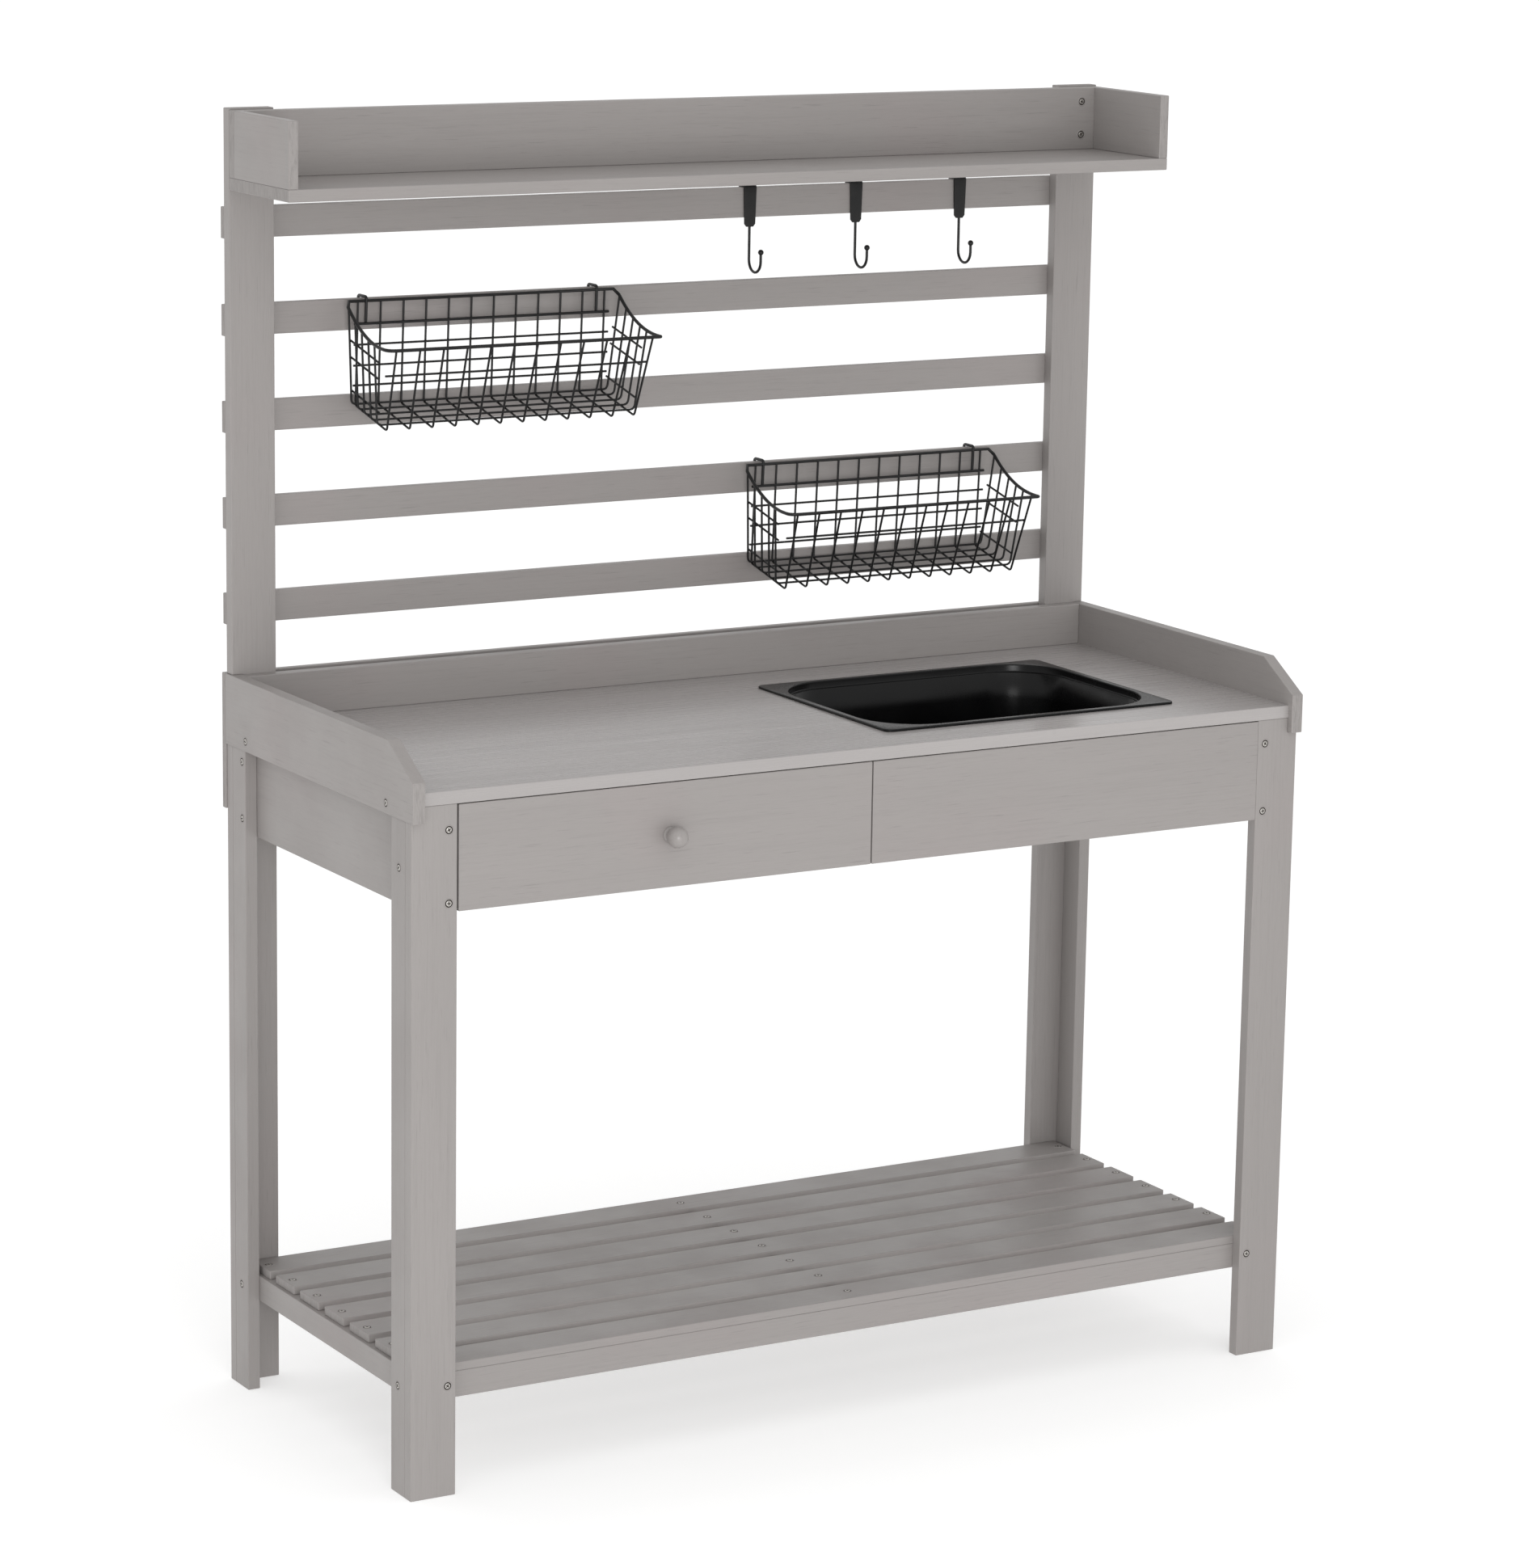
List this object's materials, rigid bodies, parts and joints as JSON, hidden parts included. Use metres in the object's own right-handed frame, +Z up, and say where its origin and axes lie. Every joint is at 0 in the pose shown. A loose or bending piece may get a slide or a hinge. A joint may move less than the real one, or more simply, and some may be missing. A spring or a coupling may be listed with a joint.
{
  "type": "potting bench",
  "caption": "Painted timber potting bench with a drawer, lift-out basin, slatted lower shelf, and a tall slatted back with a top shelf, wire baskets and hooks",
  "frame": {"origin": "on the floor under the middle of the whole bench, baskets and drawer knob included", "axes": "+X along the bench to the right of a person standing at its front, +Y towards its slatted back, +Z up"},
  "size_m": [1.1656, 0.52, 1.488],
  "materials": {
    "board_paint": "satin warm grey paint over timber, faint grain showing",
    "worktop_paint": "smooth satin warm grey paint",
    "inner_wood": "thin grey stain over sawn timber",
    "basin_plastic": "moulded black plastic, soft gloss",
    "black_wire": "black powder-coated steel wire and strip",
    "screw_steel": "zinc-plated steel"
  },
  "bodies": {
    "root": {"back_slat_1": "board_paint", "back_slat_2": "board_paint", "back_slat_3": "board_paint", "back_slat_4": "board_paint", "back_slat_5": "board_paint", "backsplash": "board_paint", "corner_cleats": "inner_wood", "drawer_runner_left": "inner_wood", "drawer_runner_right": "inner_wood", "fixed_front_panel": "board_paint", "front_leg_left_face": "board_paint", "front_leg_left_side": "board_paint", "front_leg_right_face": "board_paint", "front_leg_right_side": "board_paint", "front_screws": "screw_steel", "guard_left": "board_paint", "guard_right": "board_paint", "partition": "inner_wood", "rear_apron": "board_paint", "rear_leg_left_side": "board_paint", "rear_leg_right_side": "board_paint", "rear_screws": "screw_steel", "shelf_bearer_middle": "board_paint", "shelf_rail_front": "board_paint", "shelf_rail_left": "board_paint", "shelf_rail_rear": "board_paint", "shelf_rail_right": "board_paint", "shelf_screws": "screw_steel", "shelf_slat_1": "board_paint", "shelf_slat_2": "board_paint", "shelf_slat_3": "board_paint", "shelf_slat_4": "board_paint", "shelf_slat_5": "board_paint", "shelf_slat_6": "board_paint", "shelf_slat_7": "board_paint", "side_apron_left": "board_paint", "side_apron_right": "board_paint", "side_screws": "screw_steel", "top_shelf_back": "board_paint", "top_shelf_board": "board_paint", "top_shelf_end_left": "board_paint", "top_shelf_end_right": "board_paint", "top_shelf_screws": "screw_steel", "upright_left": "board_paint", "upright_right": "board_paint", "worktop": "worktop_paint"},
    "drawer": {"drawer_back": "inner_wood", "drawer_floor": "inner_wood", "drawer_front": "board_paint", "drawer_knob": "board_paint", "drawer_side_left": "inner_wood", "drawer_side_right": "inner_wood"},
    "basin": {"basin": "basin_plastic"},
    "basket_upper": {"basket_upper_mesh": "black_wire", "basket_upper_rim": "black_wire"},
    "basket_lower": {"basket_lower_mesh": "black_wire", "basket_lower_rim": "black_wire"},
    "hook_1": {"hook_1": "black_wire"},
    "hook_2": {"hook_2": "black_wire"},
    "hook_3": {"hook_3": "black_wire"}
  },
  "joints": [
    {"name": "drawer_slide", "type": "slide", "parent": "root", "child": "drawer", "axis": [0, -1, 0], "range_m": [0, 0.28]},
    {"name": "basin_lift", "type": "slide", "parent": "root", "child": "basin", "axis": [0, 0, 1], "range_m": [0, 0.15]},
    {"name": "upper_basket_lift", "type": "slide", "parent": "root", "child": "basket_upper", "axis": [0, 0, 1], "range_m": [0, 0.03]},
    {"name": "lower_basket_lift", "type": "slide", "parent": "root", "child": "basket_lower", "axis": [0, 0, 1], "range_m": [0, 0.03]},
    {"name": "hook_1_slide", "type": "slide", "parent": "root", "child": "hook_1", "axis": [1, 0, 0], "range_m": [-0.05, 0.05]},
    {"name": "hook_2_slide", "type": "slide", "parent": "root", "child": "hook_2", "axis": [1, 0, 0], "range_m": [-0.05, 0.05]},
    {"name": "hook_3_slide", "type": "slide", "parent": "root", "child": "hook_3", "axis": [1, 0, 0], "range_m": [-0.05, 0.05]}
  ]
}
